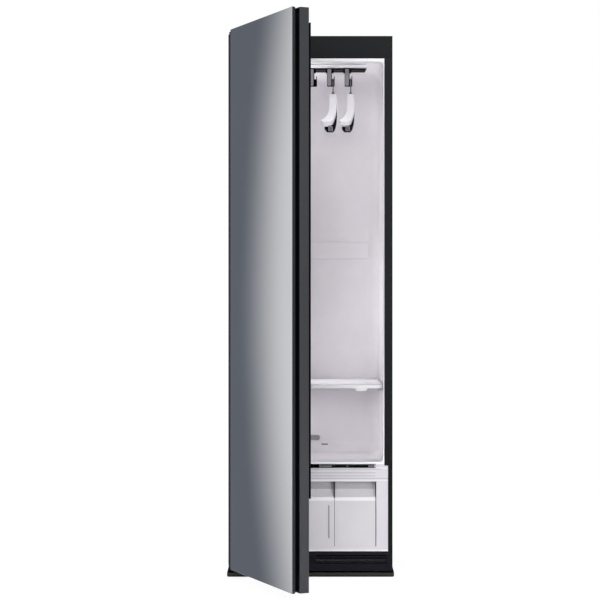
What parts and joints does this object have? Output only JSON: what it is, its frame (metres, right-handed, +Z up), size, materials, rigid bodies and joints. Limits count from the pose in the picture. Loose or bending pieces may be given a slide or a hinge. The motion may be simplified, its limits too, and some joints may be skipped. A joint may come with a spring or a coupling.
{
  "type": "clothes care steam cabinet",
  "caption": "Tall steel steam cabinet for clothes with one hinged mirror door standing open, a shaken hanger rail, a lift-out shelf and pull-out water tanks.",
  "frame": {"origin": "on the floor at the middle of the cabinet's footprint without the door", "axes": "+Z up, -Y out of the cabinet's open front, +X to the right as seen from the front; the door is hinged at the left"},
  "size_m": [0.602, 1.1575, 1.96],
  "materials": {
    "shell_steel": "satin dark grey baked paint",
    "frame_paint": "moulded frame in satin dark grey paint",
    "galvanised": "dull zinc-coated sheet",
    "hinge_steel": "dark painted steel",
    "liner_plastic": "light grey moulded plastic",
    "trim_white": "white moulded plastic",
    "lens_plastic": "frosted translucent plastic",
    "outlet_grey": "mid grey plastic",
    "shelf_plastic": "light grey moulded plastic",
    "rail_dark": "near-black plastic",
    "strap_grey": "light grey plastic",
    "hanger_pale": "pale plastic",
    "hanger_dark": "dark plastic",
    "wire": "bright wire",
    "surround_white": "white moulded plastic",
    "tank_white": "pale pearl plastic",
    "bay_dark": "grey plastic",
    "filter_grey": "mid grey plastic with fine mesh",
    "grille_dark": "black plastic",
    "foot_rubber": "black rubber",
    "mirror_glass": "dark tinted mirror glass",
    "door_edge": "dark grey plastic",
    "door_channel": "black plastic",
    "door_inner": "dark grey moulded plastic",
    "gasket_rubber": "black soft seal",
    "bush_plastic": "black low-friction plastic",
    "machine_black": "black baked paint",
    "fin_aluminium": "bare aluminium",
    "machine_grey": "grey plastic",
    "hose_rubber": "black rubber",
    "board_green": "circuit board"
  },
  "bodies": {
    "cabinet": {"base_frame": "grille_dark", "foot_covers": "grille_dark", "base_pan": "galvanised", "side_panel_left": "shell_steel", "side_panel_right": "shell_steel", "top_panel": "shell_steel", "back_panel": "galvanised", "rear_service_panel": "galvanised", "front_frame": "frame_paint", "inner_liner": "liner_plastic", "opening_trim": "trim_white", "ceiling_cover": "trim_white", "light_lens": "lens_plastic", "rear_air_panel": "liner_plastic", "steam_outlet": "outlet_grey", "shelf": "shelf_plastic", "rail_guide": "machine_grey", "rail_drive_motor": "galvanised", "lower_surround": "surround_white", "service_cover": "surround_white", "kick_grille": "grille_dark", "tank_bay": "bay_dark", "hinge_bracket_upper": "hinge_steel", "hinge_bracket_lower": "hinge_steel", "compressor": "machine_black", "heat_exchanger": "fin_aluminium", "blower_housing": "machine_grey", "blower_motor": "galvanised", "steam_generator": "galvanised", "steam_hose": "hose_rubber", "water_pump": "machine_grey", "control_board": "board_green"},
    "door": {"door_glass": "mirror_glass", "door_panel": "door_edge", "door_hinge_trim": "door_edge", "door_core": "door_channel", "door_liner": "door_inner", "door_gasket": "gasket_rubber", "hinge_bushes": "bush_plastic"},
    "water_tank": {"water_tank": "tank_white", "water_tank_lid": "tank_white"},
    "drain_tank": {"drain_tank": "tank_white", "drain_tank_lid": "tank_white"},
    "lint_filter": {"lint_filter": "filter_grey"},
    "hanging_rail": {"hanger_rail": "rail_dark", "rail_carriage": "machine_grey", "hook_blocks": "rail_dark", "hook_straps": "strap_grey"},
    "crank": {"crank_disc": "galvanised"},
    "hanger_1": {"hanger_1_shell": "hanger_pale", "hanger_1_base": "hanger_dark", "hanger_1_hook": "wire"},
    "hanger_2": {"hanger_2_shell": "hanger_pale", "hanger_2_base": "hanger_dark", "hanger_2_hook": "wire"},
    "blower_wheel": {"blower_wheel": "machine_grey"},
    "foot_1": {"levelling_foot_1": "foot_rubber"},
    "foot_2": {"levelling_foot_2": "foot_rubber"},
    "foot_3": {"levelling_foot_3": "foot_rubber"},
    "foot_4": {"levelling_foot_4": "foot_rubber"}
  },
  "joints": [
    {"name": "door_hinge", "type": "hinge", "parent": "cabinet", "child": "door", "pos_m": [-0.283, -0.3425, 1], "axis": [0, 0, -1], "range_deg": [-66.8, 43.2]},
    {"name": "water_tank_slide", "type": "slide", "parent": "cabinet", "child": "water_tank", "axis": [0, -1, 0], "range_m": [0, 0.2]},
    {"name": "drain_tank_slide", "type": "slide", "parent": "cabinet", "child": "drain_tank", "axis": [0, -1, 0], "range_m": [0, 0.2]},
    {"name": "lint_filter_slide", "type": "slide", "parent": "cabinet", "child": "lint_filter", "axis": [0, -1, 0], "range_m": [0, 0.11]},
    {"name": "rail_slide", "type": "slide", "parent": "cabinet", "child": "hanging_rail", "axis": [1, 0, 0], "range_m": [-0.02, 0.02]},
    {"name": "crank_spin", "type": "hinge", "parent": "cabinet", "child": "crank", "pos_m": [0.006, -0.032, 1.894], "axis": [0, 0, 1], "continuous": true},
    {"name": "blower_spin", "type": "hinge", "parent": "cabinet", "child": "blower_wheel", "pos_m": [0.1, 0.118, 0.32], "axis": [0, 0, 1], "continuous": true},
    {"name": "hanger_1_swing", "type": "hinge", "parent": "hanging_rail", "child": "hanger_1", "pos_m": [0.085, -0.032, 1.814], "axis": [0.999, -0.0454, 0], "range_deg": [-8, 8]},
    {"name": "hanger_2_swing", "type": "hinge", "parent": "hanging_rail", "child": "hanger_2", "pos_m": [0.151, -0.032, 1.814], "axis": [0.999, -0.0454, 0], "range_deg": [-8, 8]},
    {"name": "levelling_foot_1_turn", "type": "hinge", "parent": "cabinet", "child": "foot_1", "pos_m": [-0.2405, -0.224, 0.02], "axis": [0, 0, 1], "continuous": true},
    {"name": "levelling_foot_2_turn", "type": "hinge", "parent": "cabinet", "child": "foot_2", "pos_m": [0.2405, -0.224, 0.02], "axis": [0, 0, 1], "continuous": true},
    {"name": "levelling_foot_3_turn", "type": "hinge", "parent": "cabinet", "child": "foot_3", "pos_m": [0.2405, 0.224, 0.02], "axis": [0, 0, 1], "continuous": true},
    {"name": "levelling_foot_4_turn", "type": "hinge", "parent": "cabinet", "child": "foot_4", "pos_m": [-0.2405, 0.224, 0.02], "axis": [0, 0, 1], "continuous": true}
  ]
}
